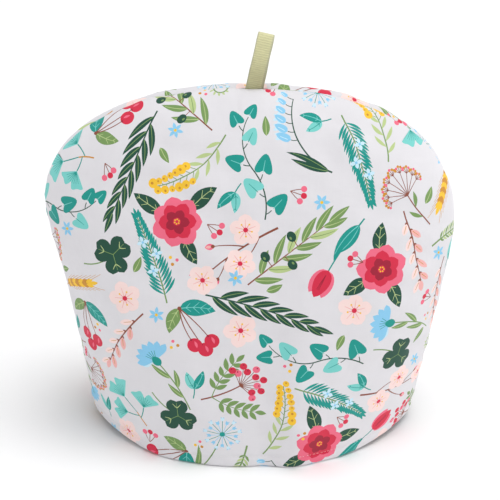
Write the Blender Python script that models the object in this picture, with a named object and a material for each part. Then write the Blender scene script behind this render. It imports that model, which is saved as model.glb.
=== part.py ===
"""Tea cosy: a padded cloth dome of two panels, sewn together over the top, with a ribbon loop.

The front panel faces -Y and the back panel faces +Y. They meet in a seam that runs up one side,
over the top and down the other side, in the plane Y = 0. The origin is the middle of the hem
opening, on the surface that the cosy stands on. All sizes are in metres.
"""

import math
from collections import namedtuple

import bmesh
import bpy
from mathutils import Vector

# The seam's outline, seen from the front. The left shoulder sits higher than the right one, and
# its side bends in below it. A roundness of 2 is an ellipse over the shoulder and more is squarer.
# A taper of 1 is a straight side and less bends in.
Side = namedtuple("Side", "hem_half shoulder_half shoulder_height roundness taper")
LEFT = Side(0.1373, 0.1690, 0.196, 2.18, 0.64)
RIGHT = Side(0.1410, 0.1670, 0.180, 2.30, 1.05)
TOP_HEIGHT = 0.2985          # crown, without the seam's valley
SOFTENING = math.radians(2.2)    # the corners at the shoulders are rounded over this step

# The walls
HEM_DEPTH = 0.0880           # from the seam's plane to the middle of the hem
WALL = 0.0060                # padded cloth
SEAM_GAP = 0.0003            # between the two panels
VALLEY_DEPTH = 0.0035        # the stitched seam lies lower than the padding beside it
VALLEY_REACH = 0.0090
CORNER_LIFT = 0.0080         # the hem rises a little at both ends of the seam
LIFT_FADE = 0.0600           # height over which that rise fades out

# How full the dome is: the first value along the hem, the second one over the top
FULLNESS_ACROSS = (2.19, 2.18)
FULLNESS_OUT = (1.51, 1.82)

# The ribbon loop
RIBBON_WIDTH = 0.0127        # half-inch grosgrain
RIBBON_THICKNESS = 0.0008
RIBBON_X = 0.0033            # it is sewn in a little right of the middle
LOOP_RISE = 0.0447           # from the seam to the top of the loop
LOOP_OPENING = 0.0100        # between the middles of its two layers, where it is widest
LEG_SPLAY = 0.0008           # the front end is sewn in this far to the left, the back end to the right
FOOT_DEPTH = 0.0035          # how far its ends go down into the seam
LEG_GAP = 0.0003             # between its two layers in the seam
LOOP_OPENS_FROM = 0.0010     # heights over which the layers part
LOOP_OPENS_TO = 0.0260
LOOP_LEAN = math.radians(12.0)
LOOP_TWIST = math.radians(-3.0)
TWIST_STARTS = 0.0040

# The slot in the seam that holds the ribbon's ends
SLOT_HALF = LEG_GAP / 2 + RIBBON_THICKNESS + SEAM_GAP
SLOT_FULL = RIBBON_WIDTH / 2 + 0.0017      # reach from the ribbon's middle at full width
SLOT_END = RIBBON_WIDTH / 2 + 0.0070       # reach at which the panels meet again
SLOT_HEIGHT = 0.0300                       # it fades out this far below the top

# Soft folds of the cloth: place of the middle, lean from upright in degrees, half length,
# half width, and how far the cloth stands out (or in, below zero)
FRONT_FOLDS = (
    # x, z, lean, half_length, half_width, height
    (0.036, 0.040, 4, 0.085, 0.017, 0.0030),
    (0.012, 0.020, -3, 0.060, 0.015, -0.0020),
    (-0.070, 0.030, 8, 0.070, 0.020, 0.0020),
    (-0.105, 0.205, 55, 0.060, 0.014, -0.0020),
    (0.098, 0.215, -50, 0.050, 0.014, -0.0020),
    (0.105, 0.110, -12, 0.080, 0.018, 0.0018),
)
BACK_FOLDS = (
    (-0.040, 0.045, -5, 0.080, 0.018, 0.0028),
    (0.062, 0.030, 6, 0.065, 0.018, 0.0022),
    (0.012, 0.025, 0, 0.055, 0.015, -0.0020),
    (0.100, 0.200, -52, 0.055, 0.015, -0.0020),
    (-0.095, 0.210, 50, 0.055, 0.014, -0.0018),
)

# The grid of points on each panel
SIDE_COLUMNS = 19            # columns on either side of the slot, which has five of its own
FIRST_SIDE_COLUMN = 0.10     # of the half grid's width, which is 1
ROWS = 20
RING_CROWDING = 1.6          # more than 1 puts more rings near the seam

# The grid of points on the ribbon
LEG_STEPS = 16
FOLD_STEPS = 10
RIBBON_COLUMNS = (-0.5, -0.25, 0.0, 0.25, 0.5)

COTTON_COLOUR = (0.83, 0.82, 0.83, 1.0)
RIBBON_COLOUR = (0.33, 0.36, 0.17, 1.0)


def smooth_step(value, start, end):
    """0 before start, 1 after end, and a soft ramp between them."""
    t = min(1.0, max(0.0, (value - start) / (end - start)))
    return t * t * (3 - 2 * t)


def mix(pair, share):
    return pair[0] * (1 - share) + pair[1] * share


def outline_half_width(side, height):
    """Half the width of the seam's outline: tapered up to the shoulder, then round."""
    if height < side.shoulder_height:
        flare = 1 - (1 - height / side.shoulder_height) ** side.taper
        return side.hem_half + (side.shoulder_half - side.hem_half) * flare
    rise = min(1.0, (height - side.shoulder_height) / (TOP_HEIGHT - side.shoulder_height))
    return side.shoulder_half * (1 - rise ** side.roundness) ** (1 / side.roundness)


def outline_radius(angle):
    """Distance from the origin to the seam's outline, along a ray at this angle from +X."""
    side = RIGHT if angle <= math.pi / 2 else LEFT
    slope = min(angle, math.pi - angle)
    low, high = 0.0, TOP_HEIGHT
    for _ in range(40):
        height = (low + high) / 2
        if height * math.cos(slope) < outline_half_width(side, height) * math.sin(slope):
            low = height
        else:
            high = height
    return math.hypot(outline_half_width(side, height), height)


def soft_radius(angle):
    """The outline's radius with its corners rounded, as a mean over the angles nearby."""
    total = 0.0
    weights = (1, 2, 3, 2, 1)
    for i, weight in enumerate(weights):
        nearby = angle + (i - 2) * SOFTENING
        total += weight * outline_radius(min(math.pi, max(0.0, nearby)))
    return total / sum(weights)


def seam_offset(x, z):
    """Half the gap between the panels, wider in the slot that holds the ribbon's ends."""
    near_ribbon = 1 - smooth_step(abs(x - RIBBON_X), SLOT_FULL, SLOT_END)
    near_top = smooth_step(z, TOP_HEIGHT - SLOT_HEIGHT, TOP_HEIGHT - SLOT_HEIGHT / 2)
    return SEAM_GAP / 2 + (SLOT_HALF - SEAM_GAP / 2) * near_ribbon * near_top


def fold_height(folds, x, z):
    """How far the soft folds move the cloth outwards at this place."""
    total = 0.0
    for fold_x, fold_z, lean, half_length, half_width, height in folds:
        lean = math.radians(lean)
        along = (x - fold_x) * math.sin(lean) + (z - fold_z) * math.cos(lean)
        across = (x - fold_x) * math.cos(lean) - (z - fold_z) * math.sin(lean)
        total += height * math.exp(-(along / half_length) ** 2 - (across / half_width) ** 2)
    return total


def panel_point(facing, folds, column, row, inside):
    """A point of a panel's outer or inner face, from its place in the square grid.

    The grid's squares round the middle of the hem become half rings, so that the bottom of the
    grid is the hem and its other three sides are the seam. The rays bend from the middle of the
    hem, on the wall, round to the seam's plane.
    """
    ring = max(abs(column), row)
    if abs(column) > row:
        angle = math.pi / 4 * row / abs(column)
        if column < 0:
            angle = math.pi - angle
    else:
        angle = math.pi / 2 - math.pi / 4 * column / max(row, 1e-9)
    reach = math.sin(math.pi / 2 * (1 - (1 - ring) ** RING_CROWDING))

    thickness = WALL if inside else 0.0
    radius = soft_radius(angle) - thickness
    x = reach * radius * math.cos(angle)
    z = reach * radius * math.sin(angle)
    upright = math.sin(angle) ** 2
    bulge = (1 - reach ** mix(FULLNESS_ACROSS, upright)) ** (1 / mix(FULLNESS_OUT, upright))
    offset = seam_offset(x, z)
    y = offset + (HEM_DEPTH - thickness - offset) * bulge

    if not inside:
        pull = VALLEY_DEPTH * max(0.0, 1 - (y - offset) / VALLEY_REACH) ** 2
        x -= pull * math.cos(angle)
        z -= pull * math.sin(angle)
    y += fold_height(folds, x, z) * bulge
    hem_half = RIGHT.hem_half if x > 0 else LEFT.hem_half
    z += CORNER_LIFT * smooth_step(abs(x) / hem_half, 0.5, 1.0) * math.exp(-z / LIFT_FADE)
    return Vector((x, facing * y, z))


def panel_columns():
    """Column places from -1 to 1, closer together beside the ribbon."""
    step = (1 - FIRST_SIDE_COLUMN) / (SIDE_COLUMNS - 1)
    side = [FIRST_SIDE_COLUMN + step * i for i in range(SIDE_COLUMNS)]
    column_width = TOP_HEIGHT * math.pi / 4
    slot_edges = (-SLOT_END, -SLOT_FULL, 0.0, SLOT_FULL, SLOT_END)
    slot = [(RIBBON_X + edge) / column_width for edge in slot_edges]
    return [-place for place in reversed(side)] + slot + side


def ribbon_path():
    """The ribbon's middle line in its own (y, z) plane: up in front, over, and down behind."""
    radius = LOOP_OPENING / 2
    foot_half = (LEG_GAP + RIBBON_THICKNESS) / 2
    leg = []
    for i in range(LEG_STEPS + 1):
        height = -FOOT_DEPTH + (LOOP_RISE - radius + FOOT_DEPTH) * i / LEG_STEPS
        opened = smooth_step(height, LOOP_OPENS_FROM, LOOP_OPENS_TO)
        leg.append((-foot_half - (radius - foot_half) * opened, height))
    turns = [math.pi * i / FOLD_STEPS for i in range(1, FOLD_STEPS)]
    fold = [(-radius * math.cos(t), LOOP_RISE - radius + radius * math.sin(t)) for t in turns]
    return leg + fold + [(-y, z) for y, z in reversed(leg)]


def ribbon_point(path, index, place, inside):
    """A point of the ribbon: at this place across its width, on its outer or inner face."""
    before = Vector(path[max(0, index - 1)])
    after = Vector(path[min(len(path) - 1, index + 1)])
    along = (after - before).normalized()
    outwards = Vector((-along.y, along.x))
    half = -RIBBON_THICKNESS / 2 if inside else RIBBON_THICKNESS / 2
    y, z = Vector(path[index]) + outwards * half
    twist = LOOP_TWIST * max(0.0, z - TWIST_STARTS) / (LOOP_RISE - TWIST_STARTS)
    splay = LEG_SPLAY * (1 - z / LOOP_RISE) * (1 if path[index][0] > 0 else -1)
    x = place * RIBBON_WIDTH + splay
    turned_x = x * math.cos(twist) - y * math.sin(twist)
    turned_y = x * math.sin(twist) + y * math.cos(twist)
    return Vector((turned_x, turned_y, z))


def closed_sheet(name, column_count, row_count, place, material, parent):
    """A closed solid from a grid of points with an outer and an inner face.

    place(column, row, inside) gives the position of each point.
    """
    mesh = bmesh.new()
    bmesh.ops.create_grid(mesh, x_segments=column_count - 1, y_segments=row_count - 1, size=1.0)
    doubled = bmesh.ops.extrude_face_region(mesh, geom=mesh.faces[:])["geom"]
    inner = {item for item in doubled if isinstance(item, bmesh.types.BMVert)}
    for vertex in mesh.verts:
        column = round((vertex.co.x + 1) / 2 * (column_count - 1))
        row = round((vertex.co.y + 1) / 2 * (row_count - 1))
        vertex.co = place(column, row, vertex in inner)
    bmesh.ops.triangulate(mesh, faces=mesh.faces[:], quad_method="SHORT_EDGE")
    bmesh.ops.recalc_face_normals(mesh, faces=mesh.faces[:])
    if mesh.calc_volume(signed=True) < 0:
        bmesh.ops.reverse_faces(mesh, faces=mesh.faces[:])
    data = bpy.data.meshes.new(name)
    mesh.to_mesh(data)
    mesh.free()
    data.shade_smooth()
    data.set_sharp_from_angle(angle=math.radians(40))
    data.materials.append(material)
    piece = bpy.data.objects.new(name, data)
    piece.parent = parent
    bpy.context.collection.objects.link(piece)
    return piece


def cloth_material(name, colour, roughness):
    material = bpy.data.materials.new(name)
    material.use_nodes = True
    shader = material.node_tree.nodes["Principled BSDF"]
    shader.inputs["Base Color"].default_value = colour
    shader.inputs["Roughness"].default_value = roughness
    shader.inputs["Metallic"].default_value = 0.0
    return material


def make_panel(name, facing, folds, material, parent):
    """A panel that faces -1, the front, or 1, the back."""
    columns = panel_columns()

    def place(column, row, inside):
        return panel_point(facing, folds, columns[column], row / ROWS, inside)

    return closed_sheet(name, len(columns), ROWS + 1, place, material, parent)


def make_ribbon_loop(material, parent):
    path = ribbon_path()

    def place(column, row, inside):
        return ribbon_point(path, row, RIBBON_COLUMNS[column], inside)

    loop = closed_sheet("ribbon_loop", len(RIBBON_COLUMNS), len(path), place, material, parent)
    loop.location = (RIBBON_X, 0.0, TOP_HEIGHT - VALLEY_DEPTH)
    loop.rotation_euler = (0.0, LOOP_LEAN, 0.0)
    return loop


def main():
    for old in list(bpy.data.objects):
        bpy.data.objects.remove(old, do_unlink=True)
    cosy = bpy.data.objects.new("tea_cosy", None)
    bpy.context.collection.objects.link(cosy)
    cotton = cloth_material("printed_cotton", COTTON_COLOUR, 0.85)
    ribbon = cloth_material("grosgrain_ribbon", RIBBON_COLOUR, 0.75)
    make_panel("front_panel", -1, FRONT_FOLDS, cotton, cosy)
    make_panel("back_panel", 1, BACK_FOLDS, cotton, cosy)
    make_ribbon_loop(ribbon, cosy)


main()
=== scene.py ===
"""Tea cosy: the printed cloth, its stitching, the ribbon loop and a plain studio around them.

Everything is in metres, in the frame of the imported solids: +X to the right as seen from the
front, -Y towards the viewer, +Z up, with the origin in the middle of the hem opening.
"""

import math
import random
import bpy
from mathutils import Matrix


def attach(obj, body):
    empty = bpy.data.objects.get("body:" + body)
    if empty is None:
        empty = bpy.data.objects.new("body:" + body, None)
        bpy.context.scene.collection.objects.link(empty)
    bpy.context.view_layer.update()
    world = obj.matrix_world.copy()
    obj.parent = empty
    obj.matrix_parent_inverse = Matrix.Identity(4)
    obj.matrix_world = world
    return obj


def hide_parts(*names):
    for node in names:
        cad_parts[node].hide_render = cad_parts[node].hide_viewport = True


bl_info = {
    "name": "Tea Cosy",
    "version": (1, 0, 0),
    "blender": (4, 5, 0),
    "location": "View3D > Sidebar > Tea Cosy",
    "description": "A padded tea cosy of printed cotton with a ribbon loop",
    "category": "Add Mesh",
}

from collections import namedtuple
from functools import partial

import bmesh
import bpy
import numpy as np
from bpy.props import FloatProperty, FloatVectorProperty, IntProperty, PointerProperty
from mathutils import Matrix, Vector
from mathutils.geometry import delaunay_2d_cdt

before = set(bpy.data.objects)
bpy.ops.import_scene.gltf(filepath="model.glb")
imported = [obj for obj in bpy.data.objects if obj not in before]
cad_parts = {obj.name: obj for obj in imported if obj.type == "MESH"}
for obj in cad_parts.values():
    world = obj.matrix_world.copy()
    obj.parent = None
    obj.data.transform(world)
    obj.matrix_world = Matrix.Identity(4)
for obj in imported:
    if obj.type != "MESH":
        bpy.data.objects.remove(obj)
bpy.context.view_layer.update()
BODY = "root"
MM = 0.001
FULL_TURN = 2 * math.pi
FRONT, BACK = -1, 1          # which way along Y a panel faces
SIDES = (1, -1)              # the left and the right of a place in the print

# ---------------------------------------------------------------- sizes shared with the solids

Side = namedtuple("Side", "hem_half shoulder_half shoulder_height roundness taper")
LEFT = Side(0.1373, 0.1690, 0.196, 2.18, 0.64)
RIGHT = Side(0.1410, 0.1670, 0.180, 2.30, 1.05)
TOP_HEIGHT = 0.2985
SOFTENING = math.radians(2.2)
HEM_DEPTH = 0.0880
SEAM_GAP = 0.0003
VALLEY_DEPTH = 0.0035
VALLEY_REACH = 0.0090
CORNER_LIFT = 0.0080
LIFT_FADE = 0.0600
FULLNESS_ACROSS = (2.19, 2.18)
FULLNESS_OUT = (1.51, 1.82)

RIBBON_WIDTH = 0.0127
RIBBON_THICKNESS = 0.0008
RIBBON_X = 0.0033
LOOP_RISE = 0.0447
LOOP_OPENING = 0.0100
LOOP_BENDS_FROM = 0.0270
LEG_GAP = 0.0003
LOOP_OPENS_FROM = 0.0010
LOOP_OPENS_TO = 0.0260
LOOP_LEAN = math.radians(12.0)
LOOP_TWIST = math.radians(-3.0)
TWIST_STARTS = 0.0040
LEG_SPLAY = 0.0008
FOOT_DEPTH = 0.0035
SLOT_HEIGHT = 0.0300
SLOT_FULL = 0.00805
SLOT_END = 0.01335
SLOT_HALF = 0.00125

# Soft folds, in millimetres and degrees: the middle's x and z, the lean to the right, half the
# length, half the width, and the height, which is below zero for a trough
Fold = namedtuple("Fold", "x z lean half_length half_width height")
SOLID_FOLDS = {
    FRONT: ((36, 40, 4, 85, 17, 3.0), (12, 20, -3, 60, 15, -2.0), (-70, 30, 8, 70, 20, 2.0),
            (-105, 205, 55, 60, 14, -2.0), (98, 215, -50, 50, 14, -2.0), (105, 110, -12, 80, 18, 1.8)),
    BACK: ((-40, 45, -5, 80, 18, 2.8), (62, 30, 6, 65, 18, 2.2), (12, 25, 0, 55, 15, -2.0),
           (100, 200, -52, 55, 15, -2.0), (-95, 210, 50, 55, 14, -1.8)),
}
# Fine creases that only the cloth has, laid one by one
CREASES = {
    FRONT: (
        (44, 48, 4, 80, 18, 2.2), (23, 44, 3, 70, 11.5, -1.9), (92, 56, -8, 60, 17, -1.3),
        (-30, 30, -10, 40, 14, 1.0), (-62, 55, 12, 50, 12, -1.2), (-98, 70, 9, 60, 13, 1.0),
        (-118, 120, 20, 50, 10, -1.0), (112, 70, -11, 55, 10, -1.1), (130, 130, -18, 45, 10, 0.9),
        (-128, 190, 70, 30, 8, 0.9), (-90, 247, 40, 28, 8, -1.0), (-50, 262, 25, 30, 11, 0.9),
        (10, 270, 5, 22, 12, -0.8), (60, 262, -22, 26, 9, -1.0), (95, 240, -40, 30, 10, 0.8),
        (118, 222, -48, 32, 9, -1.1), (-10, 140, 82, 60, 14, 1.0), (60, 165, 70, 50, 13, -0.9),
        (-70, 165, -75, 45, 12, -0.9),
    ),
    BACK: (
        (-55, 35, -8, 50, 10, -1.3), (-30, 55, -5, 60, 11, 1.0), (30, 60, 5, 60, 12, -1.1),
        (82, 45, 9, 50, 12, 1.0), (105, 80, -10, 60, 10, -1.0), (-110, 80, 10, 55, 10, -1.0),
        (-128, 150, 22, 45, 10, 0.9), (120, 180, -65, 35, 9, 0.9), (85, 250, -35, 28, 9, -1.0),
        (35, 268, -12, 26, 10, 0.8), (-60, 262, 25, 28, 9, -1.0), (10, 150, 84, 60, 14, 0.9),
        (-60, 170, -72, 50, 12, -0.9),
    ),
}


def bell(value, width):
    """A soft hump: 1 where the value is 0, and nearly 0 from twice the width."""
    return np.exp(-(value / width) ** 2)


def stacked(*coordinates):
    """Points from their separate coordinates."""
    return np.stack(coordinates, axis=-1)


# ---------------------------------------------------------------- the print

START = (0, 0, 0)            # a place is x, y and a direction
POINTED = 0.1                # where a leaf is narrower than this, in mm, it comes to a point


def moved(at, ahead=0.0, aside=0.0, turn=0.0):
    """The place this far ahead of and beside another one, turned by this much."""
    x, y, angle = at
    x += ahead * math.cos(angle) - aside * math.sin(angle)
    y += ahead * math.sin(angle) + aside * math.cos(angle)
    return (x, y, angle + turn)


def along(at, length, bend, share):
    """The place at a share of an arc's length, where the arc turns by bend from start to end."""
    if abs(bend) < 1e-6:
        return moved(at, length * share)
    x, y, angle = at
    radius = length / bend
    end = angle + bend * share
    return (x + radius * (math.sin(end) - math.sin(angle)),
            y - radius * (math.cos(end) - math.cos(angle)), end)


def beside(line, count, first, step, turn, closing=0.0, both=False):
    """Places along a line, turned outwards, on alternate sides or on both. They turn less by
    closing towards its end. Gives each one's number, share of the line, side and place."""
    for i in range(count):
        share = first + step * i
        for side in SIDES if both else ((1 if i % 2 else -1),):
            yield i, share, side, line(min(1.0, share), side * (turn - closing * share))


class Sketch:
    """The shapes of one printed motif, in millimetres, painted in the order they are added."""

    def __init__(self, seed):
        self.shapes = []
        self.random = random.Random(seed)

    def vary(self, value, share=0.12):
        """The value, changed by chance by up to this share of it."""
        return value * (1 + self.random.uniform(-share, share))

    def sway(self, most):
        """A chance turn to either side, in radians."""
        return self.random.uniform(-most, most)

    def hand(self):
        """A side, by chance."""
        return self.random.choice(SIDES)

    def strip(self, ink, at, length, bend, widths):
        """A shape along an arc, this wide at even shares of it. Returns a function that gives
        the place at a share of the arc, or one ahead of it, beside it or turned."""
        def place(share=1.0, turn=0.0, ahead=0.0, aside=0.0):
            return moved(along(at, length, bend, share), ahead, aside, turn)

        left, right = [], []
        for i, width in enumerate(widths):
            share = i / (len(widths) - 1)
            if width < POINTED:
                left.append(place(share)[:2])
                continue
            left.append(place(share, aside=width / 2)[:2])
            right.append(place(share, aside=-width / 2)[:2])
        self.shapes.append((ink, right + left[::-1]))
        return place

    def blade(self, ink, at, length, width, bend=0.0, lean=1.0, fat=1.0, steps=9):
        """A leaf or petal. A lean under 1 puts its widest part near the base; a low fat fills it."""
        rounds = (max(0.0, math.sin(math.pi * (i / steps) ** lean)) for i in range(steps + 1))
        return self.strip(ink, at, length, bend, [width * part ** fat for part in rounds])

    def stem(self, ink, at, length, thick, bend=0.0, thin=None):
        """A line that may taper."""
        thin = thick if thin is None else thin
        steps = max(2, int(length / 5 + abs(bend) * 4))
        return self.strip(ink, at, length, bend,
                          [thick + (thin - thick) * (i / steps) for i in range(steps + 1)])

    def stalk(self, ink, length, thick, sway, thin=None):
        """The motif's main stem, bent to either side by up to this sway."""
        return self.stem(ink, START, length, thick, self.sway(sway), thin)

    def disc(self, ink, at, radius, long=1.0):
        """A round spot, or an oval one that is this much longer along its direction."""
        corners = 8 if radius < 1.2 else 16 if radius < 3.5 else 24
        turns = [FULL_TURN * i / corners for i in range(corners)]
        ring = [moved(at, radius * long * math.cos(t), radius * math.sin(t))[:2] for t in turns]
        self.shapes.append((ink, ring))

    def petals(self, ink, at, count, length, width, start=0.0, spread=FULL_TURN, **shape):
        """Blades round a centre, or in a fan when the spread is less than a full turn."""
        for i in range(count):
            share = i / count if spread == FULL_TURN else i / (count - 1) - 0.5
            petal = moved(at, turn=share * spread + start + self.sway(0.05))
            self.blade(ink, petal, self.vary(length, 0.06), width, **shape)

    def leaf(self, ink, vein, at, length, width, bend=0.0, side_veins=0):
        """A leaf with a midrib and, if wanted, side veins."""
        lean, fat = 0.8, 0.85
        place = self.blade(ink, at, length, width, bend, lean, fat, steps=10)
        self.stem(vein, moved(at, length * 0.04), length * 0.82, 0.55, bend * 0.8, 0.3)
        for i in range(side_veins):
            share = 0.18 + 0.6 * i / max(1, side_veins - 1)
            reach = width * 0.42 * math.sin(math.pi * share ** lean) ** fat
            for hand in SIDES:
                self.stem(vein, place(share, hand * 0.75), reach * 1.15, 0.42, thin=0.25)

    def heart(self, ink, vein, at, size):
        """A heart-shaped leaf, its point ahead."""
        outline = []
        for i in range(20):
            turn = FULL_TURN * i / 20
            x = 0.42 - 0.52 * math.cos(turn) + 0.10 * math.cos(2 * turn)
            y = 0.56 * math.sin(turn) * (1 - 0.30 * (1 - math.cos(turn)) / 2) ** 1.4
            notch = 0.20 * bell(y, 0.16) if math.cos(turn) > 0 else 0.0
            outline.append(moved(at, size * (x + notch), size * y)[:2])
        self.shapes.append((ink, outline))
        self.stem(vein, moved(at, size * 0.1), size * 0.62, 0.5, thin=0.3)


def tulip(s):
    stalk = s.stalk("teal", 42, 1.1, 0.6, 0.9)
    for hand in SIDES:
        s.leaf("teal", "aqua", stalk(0.12, hand * 0.30), s.vary(27), 6.5, -hand * 0.7)
    for hand in SIDES:
        s.blade("coral", stalk(1, hand * 0.42, -1.5), 19, 10, -hand * 0.35, lean=0.8, fat=0.7)
    s.blade("crimson", stalk(ahead=-1.5), 20, 11, lean=0.78, fat=0.65, steps=11)
    for hand in (1, 0, -1):
        s.stem("wine", stalk(1, hand * 0.12, 2), 11, 0.55, -hand * 0.1, 0.3)


def camellia(s):
    for turn in (0.5, 2.7, 4.4):
        at = moved((0, 0, turn + s.sway(0.3)), 11)
        s.leaf("bottle", "lime", at, s.vary(21), 10, s.sway(0.4), 3)
    s.petals("coral", (0, 0, s.sway(1)), 7, 17, 13.5, lean=1.25, fat=0.6, steps=10)
    s.petals("crimson", (0, 0, s.sway(1)), 6, 12.5, 10, lean=1.2, fat=0.6, steps=8)
    s.petals("wine", (0, 0, s.sway(1)), 5, 8, 6.5, lean=1.2, fat=0.6, steps=7)
    s.disc("crimson", START, 2.6)
    for i in range(6):
        s.disc("yellow", moved((0, 0, i * 1.047), 1.5), 0.55)


def cornflower(s):
    stalk = s.stalk("sage", 40, 0.9, 0.7, 0.8)
    for share, hand in ((0.25, 1), (0.45, -1), (0.66, 1)):
        s.leaf("sage", "lime", stalk(share, hand * 0.55), s.vary(15), 3.6, -hand * 0.4)
    for layer, ink in ((0.15, "ice"), (0.0, "sky")):
        for i in range(-3, 4):
            at = stalk(1, i * 0.40 + layer, 2)
            s.blade(ink, at, 14.5 - 18 * layer, 5.0, lean=1.9, fat=0.8, steps=7)
    for i in range(-2, 3):
        s.stem("teal", stalk(1, i * 0.28, 2), 7.5, 0.45, thin=0.35)
    s.blade("teal", stalk(ahead=-2.5), 8, 6.2, lean=0.9, fat=0.7, steps=8)


def mimosa(s):
    stalk = s.stem("sage", START, 58, 1.0, 0.9 * s.hand(), 0.5)
    for _, _, side, at in beside(stalk, 6, 0.10, 0.075, 0.8):
        s.blade("lime", at, s.vary(11), 2.6, -side * 0.3, steps=6)
    for _, share, _, at in beside(stalk, 13, 0.50, 0.5 / 12, 0.9):
        twig = s.stem("sage", at, 8.5 * (1.15 - share) + 1.5, 0.45)
        size = s.vary(2.6, 0.25)
        s.disc("yellow", twig(), size)
        s.disc("ochre", twig(ahead=0.5, aside=0.4), size * 0.30)


def bluebell(s):
    hand = s.hand()
    stalk = s.stem("bottle", START, 60, 1.2, hand * 1.5, 0.6)
    for turn in (-0.22, 0.2):
        s.leaf("bottle", "sage", moved(START, 2, turn=turn), s.vary(30), 4.2, -turn * 1.5)
    for i in range(6):
        out = stalk(0.52 + 0.095 * i, -hand * (1.45 + 0.05 * i))
        hook = s.stem("bottle", out, 4.5, 0.5, hand * 0.7)
        size = 10.5 - 0.9 * i
        s.petals("ice", hook(ahead=size * 0.58), 3, size * 0.50, size * 0.27, spread=1.7, steps=5)
        s.blade("sky", hook(), size, size * 0.52, lean=0.75, fat=0.55, steps=8)
        s.stem("ice", hook(ahead=2, aside=0.5), size * 0.5, 0.45)


def olive(s):
    stalk = s.stalk("rust", 66, 1.0, 0.8, 0.5)
    for i, _, side, at in beside(stalk, 11, 0.08, 0.085, 0.85, closing=0.4):
        ink, vein = ("lime", "sage") if i % 3 == 2 else ("sage", "lime")
        s.leaf(ink, vein, at, s.vary(19), 4.8, -side * 0.35)
    s.leaf("sage", "lime", stalk(), 17, 4.6)
    for share, hand in ((0.30, 1), (0.46, -1), (0.62, 1)):
        twig = s.stem("rust", stalk(share, hand * 1.5), 4.5, 0.5)
        s.disc("bottle", twig(ahead=3), 2.9, long=1.25)
        s.disc("sage", twig(ahead=2.4, aside=1.0), 0.7, long=1.6)


def ginkgo(s):
    base = s.stalk("ochre", 12, 1.0, 0.4)
    for turn, back, size in ((0.1, 0, 21), (1.25, -3, 17), (-1.2, -5, 18)):
        stalk = s.stem("teal", base(1, turn, back), size * 0.62, 0.7, -turn * 0.3, 0.9)
        fan = [stalk()[:2]]
        for i in range(19):
            swing = (i / 18 - 0.5) * 1.9
            notch = 1 - 0.30 * bell(swing, 0.12) - 0.04 * math.cos(swing * 11)
            fan.append(moved(stalk(1, swing), size * 0.74 * notch)[:2])
        s.shapes.append(("aqua", fan))
        for i in range(8):
            s.stem("teal", stalk(1, (i - 3.5) * 0.22, 0.8), size * 0.48, 0.42, thin=0.25)


def clover(s):
    stalk = s.stalk("sage", 24, 0.9, 0.9, 0.8)
    for turn in (0, 2.1, -2.1):
        centre = stalk(1, turn)
        for hand in SIDES:
            lobe = moved(centre, turn=hand * 0.42)
            s.blade("bottle", lobe, 13.5, 10, -hand * 0.25, lean=1.35, fat=0.6)
        for hand in SIDES:
            s.stem("lime", moved(centre, 6.5, turn=hand * 0.95), 4.2, 0.7, -hand * 0.4, 0.3)
        s.stem("sage", centre, 10.5, 0.45, thin=0.3)


def cherries(s):
    s.leaf("teal", "aqua", (0, 0, 1.15), 24, 11.5, -0.5, 4)
    s.leaf("sage", "lime", (0, 0, -1.25), 19, 9, 0.5, 3)
    for turn, length in ((0.30, 27), (-0.16, 30), (-0.52, 22)):
        stalk = s.stem("rust", (0, 0, turn), s.vary(length, 0.06), 0.8, -turn * 0.9, 0.6)
        s.disc("crimson", stalk(ahead=4.2), 5.0)
        s.blade("coral", stalk(ahead=1.7, aside=1.4), 5.2, 1.8, -0.5, steps=6)
        s.disc("wine", stalk(ahead=-0.2), 0.9)
    s.disc("rust", START, 1.4)


def wheat(s):
    stalk = s.stalk("ochre", 62, 0.9, 0.6, 0.6)
    s.blade("lime", stalk(0.18, 0.35), 27, 3.4, 0.7, lean=0.7)
    for i in range(8):
        for hand in SIDES:
            at = stalk(0.52 + 0.06 * i, hand * 0.42, aside=hand * 0.4)
            s.stem("ochre", at, 14.5, 0.4, -hand * 0.12, 0.25)
            s.blade("yellow" if i % 2 else "ochre", at, 6.6, 2.9, -hand * 0.2, lean=0.9, steps=6)
    s.blade("yellow", stalk(0.98), 7.5, 2.9, steps=6)


def ivy(s):
    hand = s.hand()
    first = s.stem("bottle", START, 34, 0.9, hand * 0.9, 0.8)
    second = s.stem("bottle", first(), 36, 0.8, -hand * 1.2, 0.5)
    spots = [(first, share) for share in (0.1, 0.42, 0.75)]
    spots += [(second, share) for share in (0.08, 0.40, 0.72)]
    for i, (vine, share) in enumerate(spots):
        side = 1 if i % 2 else -1
        twig = s.stem("bottle", vine(share, side * 1.05), 4.5, 0.6, -side * 0.4)
        ink, vein = ("aqua", "teal") if i % 3 == 1 else ("teal", "aqua")
        s.heart(ink, vein, twig(), s.vary(13.5 - i * 0.5, 0.08))
    s.heart("teal", "aqua", second(), 9.5)


def flower(s, at, size):
    """An open flower: five round petals, with a ray on each and a stamen between each two."""
    start = s.sway(1)
    s.petals("blush", at, 5, size, size * 0.86, start, lean=1.35, fat=0.6, steps=9)
    for i in range(5):
        ray = moved(at, turn=start + i * 1.2566)
        s.stem("rose", moved(ray, size * 0.12), size * 0.52, 0.6, thin=0.3)
        stamen = s.stem("coral", moved(ray, turn=0.628), size * 0.38, 0.4)
        s.disc("yellow", stamen(ahead=size * 0.02), size * 0.06)
    s.disc("crimson", at, size * 0.15)


def blossom(s):
    flower(s, START, 11.5)


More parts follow.
